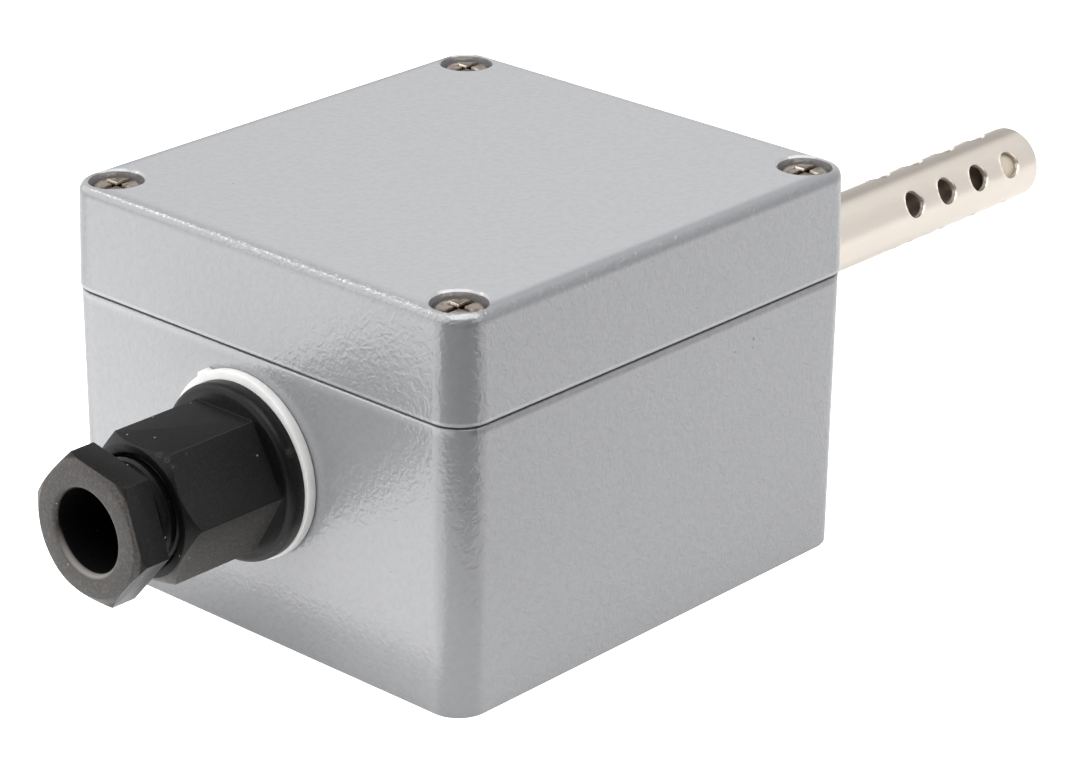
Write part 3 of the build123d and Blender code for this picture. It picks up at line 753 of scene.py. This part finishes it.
def makeWasherTree(look, width, radius):
    graph, given = newTree("washer", {
        "Wobble": "Float", "Tooth": "Float", "Start X": "Float", "Axis Y": "Float", "Axis Z": "Float",
        "Finish": "Material",
    })
    edge = look["edge"]
    long, short = edge * 0.7, edge * 0.3
    face = (radius - look["bore"] - 2 * edge) / 2
    flat = width - 2 * edge
    steps = [
        (0, face), (0, face), (short, long), (long, short), (flat, 0), (long, -short), (short, -long),
        (0, -face), (0, -face), (-edge, -edge), (-flat, 0), (-edge, edge),
    ]
    mesh, column, turn = grid(graph, len(steps), look["around"])
    along, out = followSteps(graph, column, given["Start X"], (look["bore"] + edge) * mm, steps)
    angle = turn * (2 * math.pi)
    across, up = angle.maths("COSINE", angle) * (radius * mm), angle.maths("SINE", angle) * (radius * mm)
    circle = graph.node("ShaderNodeCombineXYZ", {}, {"X": across, "Y": up, "Z": along})
    uneven = graph.noise(circle, look["wobbleSize"] * mm, 3.0, 0.6) - 0.5
    onRim = graph.fade(out, (radius - look["rim"], radius))
    middle, half = look["toothAngle"] / 360, look["toothWidth"] / 2 / 360
    tooth = graph.between(turn, middle - half, middle - half * 0.5)
    tooth = tooth * graph.between(turn, middle + half, middle + half * 0.8)
    out = out + onRim * (uneven * given["Wobble"] + tooth * given["Tooth"])
    ring = bendRound(graph, moveTo(graph, mesh, along, angle, out), given["Axis Y"], given["Axis Z"])
    return closeTree(graph, ring, given["Finish"])


def buildWasher(look):
    low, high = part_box("gland_washer")
    treePiece("gland_washer", makeWasherTree(look, (high.x - low.x) / mm, (high.z - low.z) / 2 / mm), {
        "Wobble": look["wobble"] * mm, "Tooth": look["tooth"] * mm, "Start X": low.x,
        "Axis Y": (low.y + high.y) / 2, "Axis Z": (low.z + high.z) / 2,
    })


buildTube(tube)
buildWasher(washer)
print("ring shapes: 2")


# Softened pieces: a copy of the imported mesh, bevelled, and on screws a helix along the rod

threads = {
    "nut": {"radius": 7.6, "pitch": 1.5, "ridge": 0.55},
    "machineScrew": {"radius": 1.95, "pitch": 0.7, "ridge": 0.26},
    "terminalScrew": {"radius": 1.45, "pitch": 0.5, "ridge": 0.19},
}


def makeThreadTree():
    graph, given = newTree("thread", {
        "Geometry": "Geometry", "Mean Radius": "Float", "Ridge": "Float", "Pitch": "Float",
        "Length": "Float", "Place": "Vector", "Turn": "Rotation", "Finish": "Material",
    })
    path = graph.node("GeometryNodeCurveSpiral", {}, {
        "Resolution": 32, "Rotations": given["Length"] / given["Pitch"],
        "Start Radius": given["Mean Radius"], "End Radius": given["Mean Radius"], "Height": given["Length"],
    })
    upright = graph.node("GeometryNodeSetCurveNormal", {"mode": "Z_UP"}, {"Curve": path})
    section = graph.node("GeometryNodeCurvePrimitiveCircle", {}, {"Resolution": 4, "Radius": given["Ridge"]})
    ridge = graph.node("GeometryNodeCurveToMesh", {}, {
        "Curve": upright, "Profile Curve": section, "Fill Caps": True,
    })
    placed = graph.node("GeometryNodeTransform", {}, {
        "Geometry": ridge, "Translation": given["Place"], "Rotation": given["Turn"],
    })
    both = graph.node("GeometryNodeJoinGeometry", {}, {"Geometry": [given["Geometry"], placed]})
    return closeTree(graph, both, given["Finish"])


threadTree = makeThreadTree()


# where a thread lies: a point on its axis, its way, and its start and length along it
def threadRun(axisPoint, axisWay, start, length, size):
    way = Vector(axisWay).normalized()
    point = Vector(axisPoint) * mm
    return {
        "point": point, "way": way, "start": start * mm, "length": length * mm,
        "radius": size["radius"] * mm, "pitch": size["pitch"] * mm, "ridge": size["ridge"] * mm,
    }


def mergedCopy(name):
    shell = bmesh.new()
    shell.from_mesh(nodes[name].data)
    bmesh.ops.remove_doubles(shell, verts=shell.verts, dist=0.002 * mm)
    bmesh.ops.dissolve_limit(shell, angle_limit=math.radians(0.6), verts=shell.verts, edges=shell.edges)
    return shell


# the plain rod under a thread goes down to the thread's root
def shrinkToCore(shell, run):
    slack = 0.2 * mm
    for vertex in shell.verts:
        along = (vertex.co - run["point"]).dot(run["way"])
        foot = run["point"] + run["way"] * along
        away = (vertex.co - foot).length
        inRun = run["start"] - slack < along < run["start"] + run["length"] + slack
        if inRun and abs(away - run["radius"]) < 0.03 * mm:
            vertex.co = foot + (vertex.co - foot) * ((run["radius"] - run["ridge"]) / run["radius"])


softened = []


def softenPiece(name, edge, run=None):
    finish = nodes[name].data.materials[0]
    shell = mergedCopy(name)
    if run:
        shrinkToCore(shell, run)
    mesh = bpy.data.meshes.new(name + "Soft")
    shell.to_mesh(mesh)
    shell.free()
    piece = newObject(name + "Soft", mesh)
    wear(piece, finish)
    bevel = piece.modifiers.new("edges", "BEVEL")
    bevel.width = edge * mm
    bevel.segments = edgeLook["bevelSteps"]
    bevel.limit_method = "ANGLE"
    bevel.angle_limit = math.radians(edgeLook["bevelFrom"])
    bevel.use_clamp_overlap = True
    if run:
        turn = Vector((0, 0, 1)).rotation_difference(run["way"]).to_euler()
        addTree(piece, threadTree, {
            "Mean Radius": run["radius"] - run["ridge"], "Ridge": run["ridge"], "Pitch": run["pitch"],
            "Length": run["length"], "Place": run["point"] + run["way"] * run["start"], "Turn": turn,
            "Finish": finish,
        })
    handOver(piece, name)
    softened.append(name)


# a screw that stands along Z; its thread runs between two heights above its lowest point
def softenScrew(name, size, edge, bottom, top):
    low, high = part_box(name)
    middle = (low + high) / 2 / mm
    run = threadRun((middle.x, middle.y, low.z / mm), (0, 0, 1), bottom, top - bottom, threads[size])
    softenPiece(name, edge, run)


softPieces = {
    "gland_body": 0.22, "terminal_block": 0.2, "probe_bushing": 0.2, "probe_locknut": 0.2,
    "gland_locknut": 0.2, "gland_thrust_ring": 0.15, "probe_seal": 0.12, "earth_clamp": 0.12,
    "probe_end_plug": 0.2,
}
for name, edge in softPieces.items():
    softenPiece(name, edge)
softenPiece("gland_nut", 0.22, threadRun(glandAxis, (-1, 0, 0), 14.4, 9.2, threads["nut"]))
for number in range(1, 5):
    softenScrew(f"lid_screw_{number}", "machineScrew", 0.14, 0.75, 7.35)
for number in range(1, 7):
    softenScrew(f"terminal_screw_{number}", "terminalScrew", 0.1, 0.5, 4.5)
    softenPiece(f"terminal_clamp_{number}", 0.12)
softenScrew("earth_screw", "machineScrew", 0.12, 0.75, 4.5)
for number in range(1, 4):
    softenPiece(f"terminal_bar_{number}", 0.1)
print("softened pieces:", len(softened))


# Studio: a glowing white table with a black board and a bright card on it, three lamps, and a dim room
# with three brighter parts, its skies

studio = {
    "tableSize": 6.0,  # metres
    "tableColour": paint(0.60, 0.60, 0.60),
    "tableSeen": 1.0,  # glow that the camera sees; the lamps' light comes on top
    "tableGlow": 0.20,  # glow that lights the object and shows in its gloss
    "roomGlow": 0.12,
    # each sky's way, glow, and where it starts and is full: cosines of the angle to the way
    "skies": [
        ((0.55, 0.80, 0.10), 0.62, 0.6, 0.95),
        ((0.80, -0.45, 0.38), 1.05, 0.60, 0.76),
        ((-0.72, 0.62, 0.25), 2.65, 0.45, 0.85),
    ],
    # corners in metres, against the clock as seen from above: the board lies before the object and
    # on its left, the card on the cable gland's side; the camera sees neither
    "board": [(-0.010, -0.105), (-0.088, -0.075), (-0.145, 0.0), (-0.60, 0.0), (-0.60, -0.70), (0.08, -0.70)],
    "card": [(-0.050, -0.03), (-0.050, 0.12), (-0.42, 0.40), (-0.42, 0.02), (-0.15, 0.012), (-0.105, -0.038)],
    "boardColour": paint(0.012, 0.012, 0.012),
    "cardGlow": 2.2,
    "sheetLift": 0.5 * mm,
    # name: place, aim, width and depth in metres, power in watts, colour
    "lights": {
        "overhead": ((-0.02, -0.19, 0.84), (0, 0, 0.03), 1.0, 0.8, 11.4, (1.0, 1.0, 1.0)),
        "leftBack": ((-0.36, 0.66, 0.78), (0, 0, 0.03), 0.12, 0.12, 0.8, (1.0, 0.99, 0.98)),
        "rightFront": ((0.16, -0.80, 0.30), (0, 0, 0.03), 0.5, 0.4, 1.1, (1.0, 0.99, 0.97)),
    },
}


def makeSheet(name, corners, height):
    mesh = bpy.data.meshes.new(name)
    mesh.from_pydata([(x, y, height) for x, y in corners], [], [range(len(corners))])
    sheet = newObject(name, mesh)
    material, graph = newFinish(name)
    mesh.materials.append(material)
    return sheet, graph


def makeStudio(look):
    half = look["tableSize"] / 2
    table, graph = makeSheet("table", [(-half, -half), (half, -half), (half, half), (-half, half)], 0)
    seen = graph.node("ShaderNodeLightPath", {}, {}, "Is Camera Ray")
    lit = graph.node("ShaderNodeBsdfDiffuse", {}, {"Color": look["tableColour"]})
    glow = graph.node("ShaderNodeEmission", {}, {
        "Strength": look["tableGlow"] + seen * (look["tableSeen"] - look["tableGlow"]),
    })
    surface = graph.node("ShaderNodeAddShader", {}, {0: lit, 1: glow})
    graph.node("ShaderNodeOutputMaterial", {}, {"Surface": surface})

    board, graph = makeSheet("blackBoard", look["board"], look["sheetLift"])
    closeFinish(graph, Base_Color=look["boardColour"], Roughness=1.0)
    card, graph = makeSheet("brightCard", look["card"], look["sheetLift"])
    glow = graph.node("ShaderNodeEmission", {}, {"Strength": look["cardGlow"]})
    graph.node("ShaderNodeOutputMaterial", {}, {"Surface": glow})
    for sheet in (board, card):
        sheet.visible_camera = False
        sheet.visible_shadow = False

    for name, (spot, aim, width, depth, power, colour) in look["lights"].items():
        light = bpy.data.lights.new(name, "AREA")
        light.shape = "RECTANGLE"
        light.size = width
        light.size_y = depth
        light.energy = power
        light.color = colour
        turn = (Vector(aim) - Vector(spot)).to_track_quat("-Z", "Y")
        newObject(name, light).matrix_world = Matrix.Translation(spot) @ turn.to_matrix().to_4x4()

    world = bpy.data.worlds.new("room")
    world.use_nodes = True
    graph = Graph(world.node_tree)
    seen = graph.node("ShaderNodeLightPath", {}, {}, "Is Camera Ray")
    way = graph.node("ShaderNodeTexCoord", {}, {}, "Generated")
    fill = look["roomGlow"]
    for centre, strength, start, full in look["skies"]:
        near = graph.node("ShaderNodeVectorMath", {"operation": "DOT_PRODUCT"}, {
            0: way, 1: tuple(Vector(centre).normalized()),
        }, "Value")
        fill = graph.between(near, start, full, 0.0, strength) + fill
    glow = graph.node("ShaderNodeBackground", {}, {"Strength": fill * (1 - seen) + seen})
    graph.node("ShaderNodeOutputWorld", {}, {"Surface": glow})
    bpy.context.scene.world = world
    bpy.context.scene.view_settings.view_transform = "Standard"


makeStudio(studio)
print("studio: lights", len(studio["lights"]))


# Camera, fitted to the box's edges in the photograph

view = {
    "eye": (-0.367358, -0.347800, 0.241858),  # metres
    "sight": (0.68067, 0.61726, -0.39455),
    "roll": 0.009913,  # radians
    "lens": 130.55,
    "sensor": 36.0,
    "nearest": 0.01,  # metres
}


def makeCamera(look):
    sight = Vector(look["sight"]).normalized()
    right = sight.cross(Vector((0, 0, 1))).normalized()
    up = right.cross(sight)
    cosRoll, sinRoll = math.cos(look["roll"]), math.sin(look["roll"])
    axes = (right * cosRoll + up * sinRoll, up * cosRoll - right * sinRoll, -sight)
    lens = bpy.data.cameras.new("camera")
    lens.sensor_fit = "HORIZONTAL"
    lens.sensor_width = look["sensor"]
    lens.lens = look["lens"]
    lens.clip_start = look["nearest"]
    camera = newObject("camera", lens)
    camera.matrix_world = Matrix.Translation(look["eye"]) @ Matrix(axes).transposed().to_4x4()
    bpy.context.scene.camera = camera


makeCamera(view)
print("camera: lens", view["lens"])
